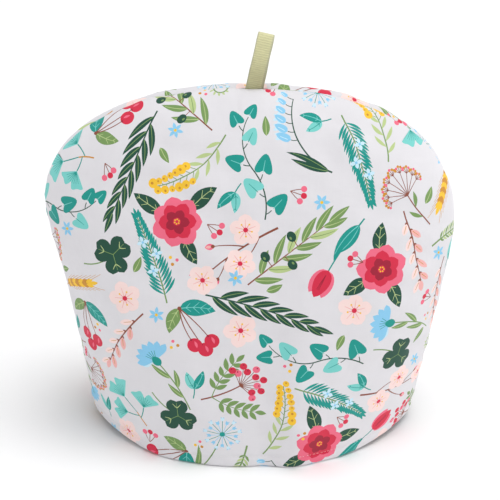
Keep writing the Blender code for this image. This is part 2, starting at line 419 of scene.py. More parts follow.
def blossom_twig(s):
    stalk = s.stalk("rust", 62, 1.5, 0.8, 0.6)
    for share, turn, length in ((0.22, 0.7, 17), (0.40, -0.75, 20), (0.62, 0.7, 15), (0.80, -0.6, 11)):
        twig = s.stem("rust", stalk(share, turn), length, 0.9, -turn * 0.5, 0.5)
        s.blade("coral", twig(ahead=-0.5), 6.0, 4.2, fat=0.7, lean=0.85, steps=7)
        s.blade("rose", twig(ahead=0.9), 4.2, 2.0, steps=5)
        s.blade("rust", twig(ahead=-1.3), 3.0, 2.6, steps=5)
    for share, aside in ((0.30, -8.5), (0.54, 8.0), (0.97, 1.0)):
        flower(s, stalk(share, aside=aside), 10.5)


def allium(s):
    stalk = s.stalk("sage", 34, 1.0, 0.5, 0.8)
    s.leaf("sage", "lime", stalk(0.05, 0.35), 26, 4.2, 0.5)
    centre = stalk(ahead=9)
    for i in range(18):
        reach, line, tip = (11.5, "teal", "ice") if i % 2 else (9.0, "sky", "sky")
        ray = s.stem(line, moved(centre, turn=i * math.pi / 9), reach, 0.4)
        for swing in (-0.5, 0.5):
            s.stem("sky", ray(1, swing, -0.3), 2.2, 0.5, thin=0.7)
        s.disc(tip, ray(), 1.2)
    s.disc("teal", centre, 1.8)


def willow(s):
    stalk = s.stalk("bottle", 74, 1.1, 0.7, 0.5)
    for _, share, side, at in beside(stalk, 13, 0.06, 0.072, 0.62, closing=0.2):
        s.leaf("bottle", "sage", at, s.vary(23 - 9 * share), 4.6 - share, -side * 0.35)
    s.leaf("bottle", "sage", stalk(0.99), 15, 3.8)


def rowan(s):
    stalk = s.stalk("rust", 30, 1.1, 0.4, 0.9)
    for hand in SIDES:
        frond = s.stem("sage", stalk(0.25, hand * 0.95), 31, 0.7, -hand * 0.5, 0.4)
        for _, _, side, at in beside(frond, 5, 0.22, 0.17, 0.95, both=True):
            s.blade("sage", at, s.vary(8.5), 3.4, -side * 0.3, lean=0.85, fat=0.85, steps=6)
        s.blade("sage", frond(), 8, 3.4, steps=6)
    for i in range(11):
        turn = (i - 5) * 0.27
        reach = 13.5 + 3.0 * math.cos(turn * 1.4) - (4.2 if i % 2 else 0)
        twig = s.stem("rust", stalk(1, turn * 0.9, -2), reach, 0.5, turn * 0.3, 0.4)
        s.disc("crimson" if i % 3 else "coral", twig(), 2.5)
        s.disc("wine", twig(ahead=1.1), 0.55)


def catkins(s):
    stalk = s.stalk("rust", 52, 1.1, 0.9, 0.5)
    for i, _, _, at in beside(stalk, 9, 0.16, 0.102, 0.62):
        s.blade("rust", moved(at, -0.6), 4.0, 2.6, steps=5)
        s.blade("rose" if i % 2 else "blush", moved(at, 1.2), s.vary(9.5), 4.3, fat=0.6, steps=8)
        s.stem("ochre", moved(at, 2.6), 5.6, 0.5, thin=0.3)
    s.blade("rose", stalk(), 8.5, 4.0, fat=0.6, steps=7)


def fern_curl(s):
    """A young fern: a stem that rolls up, with shorter leaflets inside the bend."""
    hand = s.hand()
    stalk = s.stem("sage", START, 40, 1.3, hand * 0.5, 1.1)
    curl = s.stem("sage", stalk(), 21, 1.1, hand * 4.4, 0.9)
    s.disc("sage", curl(), 1.3)
    for i, _, side, at in beside(stalk, 12, 0.20, 0.070, 0.95, both=True):
        reach = 6.5 + 3.0 * math.sin(i / 11 * 3.1) - (2.0 if side == hand else 0)
        s.blade("lime" if i % 2 else "sage", at, reach, 1.7, -side * 0.4, steps=6)
    for i in range(7):
        s.blade("lime", curl(0.06 + 0.12 * i, -hand * 1.1), 4.8 - 0.4 * i, 1.6, steps=5)


def umbel(s):
    stalk = s.stalk("rust", 27, 0.9, 0.6, 0.7)
    for share, hand in ((0.30, 1), (0.62, -1)):
        s.blade("sage", stalk(share, hand * 0.7), s.vary(12), 2.8, -hand * 0.5, steps=7)
    for i in range(-4, 5):
        turn = i * 0.29
        ray = s.stem("rust", stalk(1, turn), 17 - 1.2 * abs(i), 0.55, turn * 0.15, 0.4)
        for j in range(-2, 3):
            twig = s.stem("rust", ray(1, j * 0.42, -0.3), 4.6 - 0.5 * abs(j), 0.4)
            s.disc("ochre" if (i + j) % 3 else "coral", twig(), 0.95)


def rosemary(s):
    stalk = s.stalk("sage", 60, 1.0, 0.7, 0.6)
    for _, share, side, at in beside(stalk, 20, 0.10, 0.046, 0.95, closing=0.35, both=True):
        reach = s.vary(12.5) * (1 - 0.55 * share ** 2)
        s.blade("teal", at, reach, 1.9, -side * 0.30, lean=1.15, fat=0.8, steps=6)
    for share, side in ((0.35, 1), (0.52, -1), (0.68, 1)):
        bloom = stalk(share, ahead=2.0, aside=side * 3.0)
        s.petals("ice", bloom, 4, 4.2, 2.6, steps=5)
        s.disc("sky", bloom, 0.9)
    s.blade("teal", stalk(0.98), 7, 1.9, steps=6)


def leaf_pair(s):
    stalk = s.stalk("teal", 7, 0.8, 0.5)
    for hand, ink, vein in ((1, "aqua", "teal"), (-1, "teal", "aqua")):
        s.leaf(ink, vein, stalk(1, hand * 0.6), s.vary(15), 6.2, -hand * 0.4, 2)


def seed_star(s):
    s.petals("sky", START, 6, 5.6, 2.4, steps=5)
    s.disc("yellow", START, 1.1)


def three_berries(s):
    for turn in (-0.6, 0.0, 0.6):
        twig = s.stem("rust", (0, 0, turn), s.vary(8.5), 0.5, -turn * 0.4)
        s.disc("coral" if turn else "crimson", twig(), 2.0)


def small_leaf(s):
    s.leaf("sage", "lime", START, s.vary(13), 5.0, s.sway(0.6))


def dots(s):
    for ink, turn in (("yellow", 0.0), ("ochre", 2.2), ("coral", 4.1)):
        s.disc(ink, moved((0, 0, turn), 2.6), 1.15)


LARGE_MOTIFS = (camellia, rosemary, mimosa, ivy, tulip, rowan, willow, blossom_twig, olive, bluebell)
MIDDLE_MOTIFS = (cherries, ginkgo, umbel, cornflower, wheat, clover, allium, fern_curl, catkins)
SMALL_MOTIFS = (blossom, leaf_pair, three_berries, seed_star, small_leaf, dots)

# The rounds in which the print is laid out: motifs, the most to lay, the clear gap round each and
# how far alike ones keep apart, in mm
ROUNDS = (
    (LARGE_MOTIFS, 24, 4.6, 150),
    (MIDDLE_MOTIFS, 38, 4.2, 105),
    (SMALL_MOTIFS, 64, 3.6, 60),
)
PRINT_SCALE = 1.2            # the motifs are drawn a little smaller than they are printed
TRIES = 700                  # places tried for each motif
MARKS = 80                   # about as many points of a motif stand for it when places are tried
FIELD_CELL = 2.5             # the clear distance is kept on a grid of this pitch, in mm
FARTHEST = 30.0              # clear distances are told apart up to here, in mm
ALIKE_COST = 0.25            # how much it counts against a place that a motif's like is near


def lay_out_print(inside, low, high, seed):
    """Scatters the motifs over the flat cloth so that they hardly overlap. Lengths are in mm.

    Each motif tries many places and takes the one that packs best against those already laid,
    away from its own kind. inside(points) says which points lie on the cloth, between the
    corners low and high. Returns (ink, outline) shapes in the order in which they are printed.
    """
    rng = np.random.default_rng(seed)
    low, high = np.array(low, float), np.array(high, float)
    steps = ((high - low) / FIELD_CELL).astype(int)
    xs, ys = (low[i] + FIELD_CELL * np.arange(steps[i]) for i in (0, 1))
    clear = np.full(tuple(steps), FARTHEST)
    shapes, laid = [], []
    for motifs, most, gap, apart in ROUNDS:
        for n in range(most):
            motif = motifs[n % len(motifs)]
            sketch = Sketch(int(rng.integers(1 << 30)))
            motif(sketch)
            outlines = [np.array(outline) * PRINT_SCALE for _, outline in sketch.shapes]
            points = np.concatenate(outlines)
            middle = (points.min(axis=0) + points.max(axis=0)) / 2
            marks = (points - middle)[:: max(1, len(points) // MARKS)]
            spots = rng.uniform(low, high, (TRIES, 2))
            spots = spots[inside(spots)]
            turns = rng.uniform(0, FULL_TURN, len(spots))
            across = stacked(np.cos(turns), np.sin(turns))
            upward = stacked(-np.sin(turns), np.cos(turns))
            placed = spots[:, None] + marks[:, :1] * across[:, None] + marks[:, 1:] * upward[:, None]
            cells = np.clip(((placed - low) / FIELD_CELL).astype(int), 0, steps - 1)
            near = clear[cells[..., 0], cells[..., 1]]
            score = near.mean(axis=1)
            for kind, spot in laid:
                if kind is motif:
                    score += ALIKE_COST * np.maximum(0, apart - np.hypot(*(spots - spot).T))
            score[near.min(axis=1) < gap] = np.inf
            best = int(np.argmin(score))
            if not np.isfinite(score[best]):
                continue
            laid.append((motif, spots[best]))
            here = placed[best]
            first = ((here.min(axis=0) - FARTHEST - low) / FIELD_CELL).astype(int)
            last = ((here.max(axis=0) + FARTHEST - low) / FIELD_CELL).astype(int) + 1
            window = tuple(slice(max(first[i], 0), max(last[i], 0)) for i in (0, 1))
            for mark in here:
                distance = np.hypot((xs[window[0]] - mark[0])[:, None], ys[window[1]] - mark[1])
                clear[window] = np.minimum(clear[window], distance)
            for (ink, _), outline in zip(sketch.shapes, outlines):
                turned = (outline - middle) @ np.stack((across[best], upward[best])) + spots[best]
                shapes.append((ink, turned))
    return shapes


# ---------------------------------------------------------------- the shape of the panels

WALL = 0.0060                # padded wall: printed cotton, wadding and the inner cloth
HEM_ROLL = WALL / 2          # the wall's lower edge is this round
ROLL_CLOTH = HEM_ROLL * math.pi / 2
CUT_BOTTOM = HEM_ROLL - ROLL_CLOTH    # the flat cloth ends here, at the lowest line of the roll
HEM_STITCHES_AT = 0.0105     # height of the hem's stitching above the edge
HEM_TURN_UP = 0.0130         # the cloth is turned up inside to this height
LUMPS = 0.0022               # how far the padding is uneven
SEAM_GATHERS = 0.0021        # how far the seam gathers the cloth
SEAM_RADIUS = 0.17           # the seam's usual distance from the origin
HEM_GATHERS = 0.00028        # how far the hem's stitching gathers it
STITCH_GROOVE = 0.00075      # how deep the stitching lies in the printed face
STITCH_PULL = 0.0004         # how far it pulls the inner cloth in
TURNED_UP = 0.0007           # how much thicker the wall is where the cloth is turned up
RIBBON_DIP = 0.0018          # how far the cloth is pulled in beside the ribbon
ANGLES = np.linspace(0.0, math.pi, 721)
BENDS = np.linspace(0.0, math.pi / 2, 241)


def smooth_step(value, start, end):
    """0 before start, 1 after end, and a soft ramp between them."""
    share = np.clip((value - start) / (end - start), 0.0, 1.0)
    return share * share * (3 - 2 * share)


def outline_half_width(side, height):
    """Half the width of the seam's outline: tapered up to the shoulder, then round."""
    low = np.clip(height / side.shoulder_height, 0.0, 1.0)
    flare = 1 - (1 - low) ** side.taper
    tapered = side.hem_half + (side.shoulder_half - side.hem_half) * flare
    rise = np.clip((height - side.shoulder_height) / (TOP_HEIGHT - side.shoulder_height), 0.0, 1.0)
    rounded = side.shoulder_half * (1 - rise ** side.roundness) ** (1 / side.roundness)
    return np.where(height < side.shoulder_height, tapered, rounded)


def outline_radius(angle):
    """Distance from the origin to the seam's outline, along rays at these angles from +X."""
    def half_width(height):
        return np.where(angle <= math.pi / 2, outline_half_width(RIGHT, height),
                        outline_half_width(LEFT, height))

    slope = np.minimum(angle, math.pi - angle)
    low = np.zeros_like(angle)
    high = np.full_like(angle, TOP_HEIGHT)
    for _ in range(40):
        height = (low + high) / 2
        below = height * np.cos(slope) < half_width(height) * np.sin(slope)
        low = np.where(below, height, low)
        high = np.where(below, high, height)
    return np.hypot(half_width(height), height)


def soft_outline():
    """The outline's radius at ANGLES, with its corners rounded over the angles nearby."""
    weights = (1, 2, 3, 2, 1)
    total = np.zeros_like(ANGLES)
    for i, weight in enumerate(weights):
        total += weight * outline_radius(np.clip(ANGLES + (i - 2) * SOFTENING, 0.0, math.pi))
    return total / sum(weights)


OUTLINE = soft_outline()


def fold_height(folds, x, z):
    """How far these soft folds move the cloth outwards at each place."""
    total = np.zeros_like(x)
    for row in folds:
        fold = Fold(*row)
        lean = math.radians(fold.lean)
        right, up = x / MM - fold.x, z / MM - fold.z
        lengthwise = bell(right * math.sin(lean) + up * math.cos(lean), fold.half_length)
        crosswise = bell(right * math.cos(lean) - up * math.sin(lean), fold.half_width)
        total += fold.height * MM * lengthwise * crosswise
    return total


def wall_place(facing, angle, reach, inside):
    """Points of a panel's outer or inner face: reach is 0 at the hem's middle and 1 at the seam.

    Also the bulge, which is 0 at the seam and 1 in full, and the corners' lift."""
    thickness = WALL if inside else 0.0
    radius = np.interp(angle, ANGLES, OUTLINE) - thickness
    x = reach * radius * np.cos(angle)
    z = reach * radius * np.sin(angle)
    upright = np.sin(angle) ** 2
    across = FULLNESS_ACROSS[0] * (1 - upright) + FULLNESS_ACROSS[1] * upright
    out = FULLNESS_OUT[0] * (1 - upright) + FULLNESS_OUT[1] * upright
    bulge = np.clip(1 - reach ** across, 0.0, 1.0) ** (1 / out)
    near_ribbon = 1 - smooth_step(np.abs(x - RIBBON_X), SLOT_FULL, SLOT_END)
    near_top = smooth_step(z, TOP_HEIGHT - SLOT_HEIGHT, TOP_HEIGHT - SLOT_HEIGHT / 2)
    offset = SEAM_GAP / 2 + (SLOT_HALF - SEAM_GAP / 2) * near_ribbon * near_top
    y = offset + (HEM_DEPTH - thickness - offset) * bulge
    if not inside:
        pull = VALLEY_DEPTH * np.clip(1 - (y - offset) / VALLEY_REACH, 0.0, 1.0) ** 2
        x = x - pull * np.cos(angle)
        z = z - pull * np.sin(angle)
    y = y + fold_height(SOLID_FOLDS[facing], x, z) * bulge
    hem_half = np.where(x > 0, RIGHT.hem_half, LEFT.hem_half)
    lift = CORNER_LIFT * smooth_step(np.abs(x) / hem_half, 0.5, 1.0)
    z = z + lift * np.exp(-z / LIFT_FADE)
    return stacked(x, facing * y, z), bulge, lift


def travelled(points):
    """The distance along a line of points, at each of them."""
    steps = np.linalg.norm(np.diff(points, axis=-2), axis=-1)
    return np.concatenate((np.zeros_like(steps[..., :1]), np.cumsum(steps, axis=-1)), axis=-1)


def ray_lengths():
    """Lengths of the rays over the cloth: the whole length, and the bend at even shares of it."""
    angle, bend = np.meshgrid(ANGLES, BENDS, indexing="ij")
    length = travelled(wall_place(FRONT, angle, np.sin(bend), False)[0])
    shares = np.linspace(0.0, 1.0, len(BENDS))
    bends = np.array([np.interp(shares, row / row[-1], BENDS) for row in length])
    return length[:, -1], bends


RAY_LENGTH, BEND_TABLE = ray_lengths()


def ray_length(angle):
    """The length over the cloth from the hem's middle to the seam, at these angles."""
    return np.interp(angle, ANGLES, RAY_LENGTH)


def bend_at(angle, share):
    """The ray's bend at this share of its length, from the table."""
    i = angle / math.pi * (len(ANGLES) - 1)
    j = share * (len(BENDS) - 1)
    row = np.clip(i.astype(int), 0, len(ANGLES) - 2)
    column = np.clip(j.astype(int), 0, len(BENDS) - 2)
    i = i - row
    j = j - column
    near = BEND_TABLE[row, column] * (1 - j) + BEND_TABLE[row, column + 1] * j
    far = BEND_TABLE[row + 1, column] * (1 - j) + BEND_TABLE[row + 1, column + 1] * j
    return near * (1 - i) + far * i


# The flat cloth lies in x and y, with the hem's middle at the origin and the hem along x

def on_ray(angle, length):
    """Flat points at these angles, this far from the hem's middle."""
    return stacked(length * np.cos(angle), length * np.sin(angle))


def level(run, height):
    """Flat points in a row at this height above the hem."""
    return stacked(run, np.full(len(run), height))


def to_ray(flat):
    """The angle of each flat point at the hem's middle, and its distance from there."""
    up = np.maximum(flat[:, 1], 0.0)
    return np.arctan2(up, flat[:, 0]), np.hypot(flat[:, 0], up)


def seam_distance(flat):
    """How far inside the seam each flat point lies, along its ray."""
    angle, distance = to_ray(flat)
    return ray_length(angle) - distance


def share_out(flat):
    """How far out each flat point lies, from 0 at the hem's middle to 1 at the seam."""
    angle, distance = to_ray(flat)
    return distance / ray_length(angle)


def ripple(distance, lengths, shift):
    """A soft uneven wave from -1 to 1 along a distance in metres, of waves of these lengths in mm."""
    total = 0.0
    for i, length in enumerate(lengths):
        total = total + np.sin(distance / (length * MM) * FULL_TURN + shift + 2.1 * i)
    return total / len(lengths)


def inner_detail(flat, above_hem, to_seam):
    """How far outwards the inner cloth lies: less where it is turned up, more where it is sewn."""
    turned_up = 1 - smooth_step(flat[:, 1], HEM_TURN_UP - 0.0006, HEM_TURN_UP + 0.0002)
    turned_up *= smooth_step(above_hem, 0.0, 0.003)
    stitched = bell(flat[:, 1] - HEM_STITCHES_AT, 0.0015)
    return (STITCH_PULL * stitched - TURNED_UP * turned_up) * smooth_step(to_seam, 0.0, 0.010)


def printed_detail(facing, flat, above_hem, to_seam, angle, outer, bulge):
    """How far outwards the printed cloth lies: creases, lumps, gathers, a groove and a dip."""
    x, y = flat.T
    open_cloth = smooth_step(bulge, 0.02, 0.30)
    creases = fold_height(CREASES[facing], outer[:, 0], outer[:, 2]) * open_cloth
    creases *= 0.5 + 0.5 * smooth_step(above_hem, 0.0, 0.025)

    # Two uneven waves across each other leave round lumps, which fade out at the hem
    lumps = ripple(x + 0.4 * y, (43, 61, 97), 0.9 * facing)
    lumps *= ripple(y - 0.3 * x, (38, 57, 84), 2.2 * facing)
    lumps *= open_cloth * smooth_step(above_hem, 0.0, 0.030)

    # The seam gathers the cloth most at 4 mm from it, and more in some places than in others
    near_seam = np.exp(-to_seam / 0.011) * (1 - np.exp(-to_seam / 0.0022))
    seam_gather = ripple(angle * SEAM_RADIUS, (17, 26, 41), 0.7 * facing)
    seam_gather *= near_seam * (0.6 + 0.4 * np.sin(angle * 5 + facing))
    near_hem = bell(y - 0.008, 0.008)
    hem_gather = ripple(x, (11, 16, 27), 1.3 * facing)
    groove = bell(y - HEM_STITCHES_AT, 0.0017) * (1 + 0.35 * hem_gather)
    by_ribbon = bell(outer[:, 0] - RIBBON_X, 0.011) * bell(to_seam, 0.009)
    by_ribbon *= smooth_step(to_seam, 0.0, 0.003)
    return (creases + LUMPS * lumps + SEAM_GATHERS * seam_gather - STITCH_GROOVE * groove
            + HEM_GATHERS * hem_gather * near_hem * open_cloth - RIBBON_DIP * by_ribbon)


def cloth_place(facing, flat, inside):
    """Where each point of the flat cloth lies on the cosy."""
    held = stacked(flat[:, 0], np.maximum(flat[:, 1], HEM_ROLL))
    angle = to_ray(held)[0]
    share = np.clip(share_out(held), 0.0, 1.0)
    bend = bend_at(angle, share)
    outer, bulge, lift = wall_place(facing, angle, np.sin(bend), False)
    inner = wall_place(facing, angle, np.sin(bend), True)[0]
    outwards = stacked(np.cos(angle) * np.sin(bend), facing * np.cos(bend), np.sin(angle) * np.sin(bend))
    above_hem = held[:, 1] - HEM_ROLL
    to_seam = ray_length(angle) * (1 - share)
    if inside:
        inner += outwards * inner_detail(flat, above_hem, to_seam)[:, None]
    else:
        detail = printed_detail(facing, flat, above_hem, to_seam, angle, outer, bulge)
        outer += outwards * detail[:, None]

    # Below the hem's line the cloth rolls round the wall's lower edge
    roll = np.clip((HEM_ROLL - flat[:, 1]) / ROLL_CLOTH, 0.0, 1.0) * math.pi / 2
    turn = math.pi - roll if inside else roll
    middle = (outer + inner) / 2
    rolled = middle + (outer - inner) / 2 * np.cos(turn)[:, None]
    rolled[:, 2] -= (middle[:, 2] - lift) * np.sin(turn)
    return np.where((roll > 0)[:, None], rolled, inner if inside else outer)


CLOTH_CENTRE = (0.0, 0.11)
NORMALS_INSET = 0.00025      # normals are measured this far nearer to the cloth's centre
NORMALS_STEP = 0.0002        # between points this far to each side


def cloth_normals(facing, flat, inside):
    """Directions in which the printed or inner face looks, from points close by."""
    away = flat - CLOTH_CENTRE
    held = flat - away / np.linalg.norm(away, axis=1)[:, None].clip(1e-6) * NORMALS_INSET

    def slope(*step):
        return cloth_place(facing, held + step, inside) - cloth_place(facing, held - step, inside)

    normal = np.cross(slope(NORMALS_STEP, 0), slope(0, NORMALS_STEP)) * (facing if inside else -facing)
    return normal / np.linalg.norm(normal, axis=1)[:, None].clip(1e-12)


def over_angles(values):
    """The integral over ANGLES of a value that is known at each of them."""
    return float(((values[1:] + values[:-1]) / 2 * np.diff(ANGLES)).sum())


def cut_edge(pitch):
    """The flat cloth's outline, counter-clockwise from its lower right corner."""
    low = HEM_ROLL / RAY_LENGTH[0]
    arc_length = over_angles(np.hypot(RAY_LENGTH, np.gradient(RAY_LENGTH, ANGLES)))
    angle = np.linspace(low, math.pi - low, int(arc_length / pitch))
    arc = on_ray(angle, ray_length(angle))
    right, left = arc[0, 0], arc[-1, 0]
    rise = np.linspace(CUT_BOTTOM, arc[0, 1], 5)[:-1]
    hem = np.linspace(left, right, int((right - left) / pitch))[1:-1]
    return np.concatenate((stacked(np.full_like(rise, right), rise), arc,
                           stacked(np.full_like(rise, left), rise[::-1]), level(hem, CUT_BOTTOM)))


BEYOND = 0.24                # rows of points reach this far to both sides, past the seam
SEAM_LENGTH = 0.53           # about the length of the seam on the flat cloth
FINE_PITCH = 0.0028          # distance between points along the seam and the hem
ROW_PITCH = 0.866            # rows of even triangles lie this much closer than their points
OFF_SEAM, OFF_HEM = 0.0003, 0.0004    # no point lies nearer than this to the cut edge


def spread_points(pitch, seam_rows, hem_rows):
    """Points all over the flat cloth, closer together along the seam and the hem."""
    fine = min(pitch, FINE_PITCH)
    rows = np.arange(HEM_ROLL, RAY_LENGTH.max(), pitch * ROW_PITCH)
    inner = np.concatenate([level(np.arange(-BEYOND, BEYOND, pitch) + pitch / 2 * (n % 2), height)
                            for n, height in enumerate(rows)])
    off_seam = seam_distance(inner) > seam_rows[-1] + pitch * 0.6
    out = [inner[off_seam & (inner[:, 1] > max(hem_rows) + pitch / 2)]]
    for n, row in enumerate(seam_rows):
        angle = np.linspace(0.02, math.pi - 0.02, int(SEAM_LENGTH / fine))
        angle = angle + (angle[1] - angle[0]) / 2 * (n % 2)
        out.append(on_ray(angle, ray_length(angle) - row))
    for n, row in enumerate(hem_rows):
        out.append(level(np.arange(-BEYOND, BEYOND, fine) + fine / 2 * (n % 2), row))
    points = np.concatenate(out)
    reach = np.hypot(points[:, 0], np.maximum(points[:, 1], HEM_ROLL))
    to_seam = ray_length(to_ray(points)[0]) - reach
    return points[(to_seam > OFF_SEAM) & (points[:, 1] > CUT_BOTTOM + OFF_HEM)]


CROWDED = 1.5                # no extra point shares a cell of this size, in mm, with an outline's


def cut_cloth(edge, shapes, points):
    """Cuts the flat cloth into triangles along every printed outline.

    edge and points are in metres and shapes in millimetres. Returns the flat vertices in
    metres, the triangles, and for each triangle the number of the topmost shape or -1.
    """
    def cell(point):
        return tuple(round(value / CROWDED) for value in point)

    verts = (edge / MM).tolist()
    faces = [list(range(len(verts)))]
    crowded = set()
    for _, outline in shapes:
        faces.append(list(range(len(verts), len(verts) + len(outline))))
        verts += outline.tolist()
        crowded.update(map(cell, outline.tolist()))
    verts += [point for point in (points / MM).tolist() if cell(point) not in crowded]
    verts = [Vector(vert) for vert in verts]
    flat, _, triangles, _, _, made_from = delaunay_2d_cdt(verts, [], faces, 0, 1e-4)
    kept, tops = [], []
    for triangle, sources in zip(triangles, made_from):
        if 0 in sources:
            kept.append(triangle)
            tops.append(max(sources) - 1)
    return np.array([tuple(p) for p in flat]) * MM, kept, tops


def rim_of(flat, triangles):
    """The cut edge as it is after printed outlines have crossed it, in order round the cloth."""
    ahead = dict.fromkeys(pair for triangle in triangles
                          for pair in zip(triangle, triangle[1:] + triangle[:1]))
    after = {a: b for a, b in ahead if (b, a) not in ahead}
    rim = [next(iter(after))]
    while after[rim[-1]] != rim[0]:
        rim.append(after[rim[-1]])
    if len(rim) != len(after):
        raise RuntimeError("the cloth's edge isn't one loop")
    return flat[rim]


def counter_clockwise(outline):
    x, y = outline.T
    area = np.dot(x, np.roll(y, -1)) - np.dot(y, np.roll(x, -1))
    return outline if area > 0 else outline[::-1]


def panel_print(seed):
    """The printed shapes of one panel, in mm on its flat cloth. The seam and the hem cut some."""
    past_seam, past_hem, margin = 1.02, 6, 14

    def inside(points):
        return (share_out(points * MM) < past_seam) & (points[:, 1] > -past_hem)

    reach = RAY_LENGTH.max() / MM + 12
    shapes = lay_out_print(inside, (-reach, -margin), (reach, reach), seed)
    return [(ink, counter_clockwise(outline)) for ink, outline in shapes if inside(outline).any()]


# ---------------------------------------------------------------- materials

def from_hex(text):
    """An sRGB hex value as linear red, green and blue."""
    channels = [int(text[i:i + 2], 16) / 255 for i in (1, 3, 5)]
    return tuple(c / 12.92 if c <= 0.04045 else ((c + 0.055) / 1.055) ** 2.4 for c in channels)


def connect(tree, node, **sources):
    """Links nodes, by their first output in use, or outputs into this node's sockets. The sockets
    go by name, with _ for a space, or by number after _."""
    for name, source in sources.items():
        label = int(name[1:]) if name[1:].isdigit() else name.replace("_", " ")
        if isinstance(source, bpy.types.Node):
            source = next(output for output in source.outputs if output.enabled)
        tree.links.new(source, node.inputs[label])


def add_node(owner, kind, settings=None, **sources):
    """Adds a node to a material or world. settings are its properties or, by socket name or
    number, its values."""
    node = owner.node_tree.nodes.new("ShaderNode" + kind)
    for name, value in (settings or {}).items():
        if isinstance(name, int) or name in node.inputs:
            node.inputs[name].default_value = value
        else:
            setattr(node, name, value)
    connect(owner.node_tree, node, **sources)
    return node


def new_material(name, **values):
    """A material with a Principled shader, which has these values on its own sockets."""
    material = bpy.data.materials.new(name)
    material.use_nodes = True
    shader = material.node_tree.nodes["Principled BSDF"]
    for label, value in values.items():
        shader.inputs[label.replace("_", " ")].default_value = value
    return material, shader


def wave_scale(pitch):
    """The scale of a wave texture whose bands are this far apart."""
    return FULL_TURN / (20 * pitch)


# Settings of a mix node that shades one colour with another
SHADED = {"data_type": "RGBA", "blend_type": "MULTIPLY", 0: 1.0}


def cotton_material(name, sizes):
    """Plain-woven cotton poplin, printed where the piece's own "print" colours say so.

    The weave dulls the surface, the loose fibres give it a faint bloom at its edges, and the
    thread's unevenness keeps the white from looking like paper.
    """
    material, shader = new_material(name, Roughness=0.85, Sheen_Weight=0.12, Sheen_Roughness=0.6,
                                    Specular_IOR_Level=0.25)
    add = partial(add_node, material)
    base = add("Attribute", {"attribute_name": "print"})
    place = add("UVMap", {"uv_map": "cloth"})

    # Threads are 0.3 mm apart in the real cloth, and are drawn coarser so that they show. Each
    # way they are uneven in streaks about 17 mm long and 1.2 mm wide
    threads = []
    for direction, stretch in (("X", (1, 14, 1)), ("Y", (14, 1, 1))):
        slub = add("Mapping", {"Scale": stretch}, Vector=place)
        uneven = add("TexNoise", {"Scale": 60.0, "Detail": 3.0}, Vector=slub)
        wave = add("TexWave", {"bands_direction": direction, "Scale": wave_scale(sizes.thread_pitch),
                               "Distortion": 0.6, "Detail": 1.0, "Detail Scale": 2.0}, Vector=place)
        threads.append(add("Math", {"operation": "MULTIPLY"}, _0=wave.outputs["Fac"], _1=uneven))
    weave = add("Math", {"operation": "ADD"}, _0=threads[0], _1=threads[1])

    # The ink and the white both vary by a few parts in a hundred, in patches of about 26 mm
    mottle = add("TexNoise", {"Scale": 38.0, "Detail": 5.0, "Roughness": 0.6}, Vector=place)
    shade = add("Math", {"operation": "MULTIPLY_ADD", 1: 0.10, 2: 0.90}, _0=mottle)
    # The weave's high threads are painted a little lighter and its low gaps a little darker: partly
    # painted shade of the weave, partly the threads' own uneven tone
    shade = add("Math", {"operation": "MULTIPLY_ADD", 1: 0.05}, _0=weave, _2=shade)
    tint = add("Mix", SHADED, _6=base, _7=shade)

    # Wear: the nap is rougher in places
    rough = add("MapRange", {"To Min": 0.78, "To Max": 0.92}, Value=mottle)

    # Small soft wrinkles, 15 to 40 mm long, that the padding leaves in the cloth
    wrinkle = add("TexNoise", {"Scale": 30.0, "Detail": 2.0, "Distortion": 0.6}, Vector=place)
    soft = add("Bump", {"Strength": 0.5, "Distance": 0.0026}, Height=wrinkle)
    bump = add("Bump", {"Strength": 0.35, "Distance": 0.00012}, Height=weave, Normal=soft)
    connect(material.node_tree, shader, Base_Color=tint, Roughness=rough, Normal=bump)


def ribbon_material(name, sizes, colour, edge_colour):
    """Grosgrain: woven polyester with thick ribs across it, which catch the light in thin lines.

    Its woven edges are closer and greyer, and its smooth yarn gives it a soft sheen."""
    material, shader = new_material(name, Roughness=0.62, Sheen_Weight=0.25, Sheen_Roughness=0.4,
                                    Specular_IOR_Level=0.35)
    add = partial(add_node, material)
    place = add("UVMap", {"uv_map": "cloth"})
    across, lengthwise = add("SeparateXYZ", Vector=place).outputs[:2]
    from_middle = add("Math", {"operation": "ABSOLUTE"}, _0=across)
    at_edge = add("MapRange", {"From Min": 0.0050, "From Max": 0.0060}, Value=from_middle)
    # Its yarns are drawn 0.6 mm apart, and its patches of a lighter or darker dye about 4 mm wide
    yarn = add("TexWave", {"bands_direction": "X", "Scale": wave_scale(0.0006), "Distortion": 1.2},
               Vector=place)
    mottle = add("TexNoise", {"Scale": 260.0, "Detail": 4.0}, Vector=place)
    tone = add("Mix", {"data_type": "RGBA", 6: (*colour, 1), 7: (*edge_colour, 1)}, _0=at_edge)
    shade = add("MapRange", {"To Min": 0.82, "To Max": 1.0}, Value=mottle)

    # Painted shade in the valleys between the ribs and painted light on their crests; the ribs
    # themselves are in the mesh
    valley = add("Math", {"operation": "MULTIPLY", 1: FULL_TURN / sizes.rib_pitch}, _0=lengthwise)
    valley = add("Math", {"operation": "COSINE"}, _0=valley)
    shade = add("Math", {"operation": "MULTIPLY_ADD", 1: 0.055}, _0=valley, _2=shade)

    # It is painted darker towards its ends, near the seam: painted shade where the seam's valley keeps
    # light from its foot
    from_fold = add("Math", {"operation": "SUBTRACT", 1: RIBBON_LENGTH / 2}, _0=lengthwise)
    from_fold = add("Math", {"operation": "ABSOLUTE"}, _0=from_fold)
    painted_shade_at_ends = add("MapRange", {"From Min": 0.018, "From Max": 0.034, "To Min": 1.0, "To Max": 0.83},
                Value=from_fold)
    shade = add("Math", {"operation": "MULTIPLY"}, _0=shade, _1=painted_shade_at_ends)
    tint = add("Mix", SHADED, _6=tone, _7=shade)
    rough = add("MapRange", {"To Min": 0.55, "To Max": 0.72}, Value=mottle)
    bump = add("Bump", {"Strength": 0.4, "Distance": 0.00008}, Height=yarn.outputs["Fac"])
    connect(material.node_tree, shader, Base_Color=tint, Roughness=rough, Normal=bump)


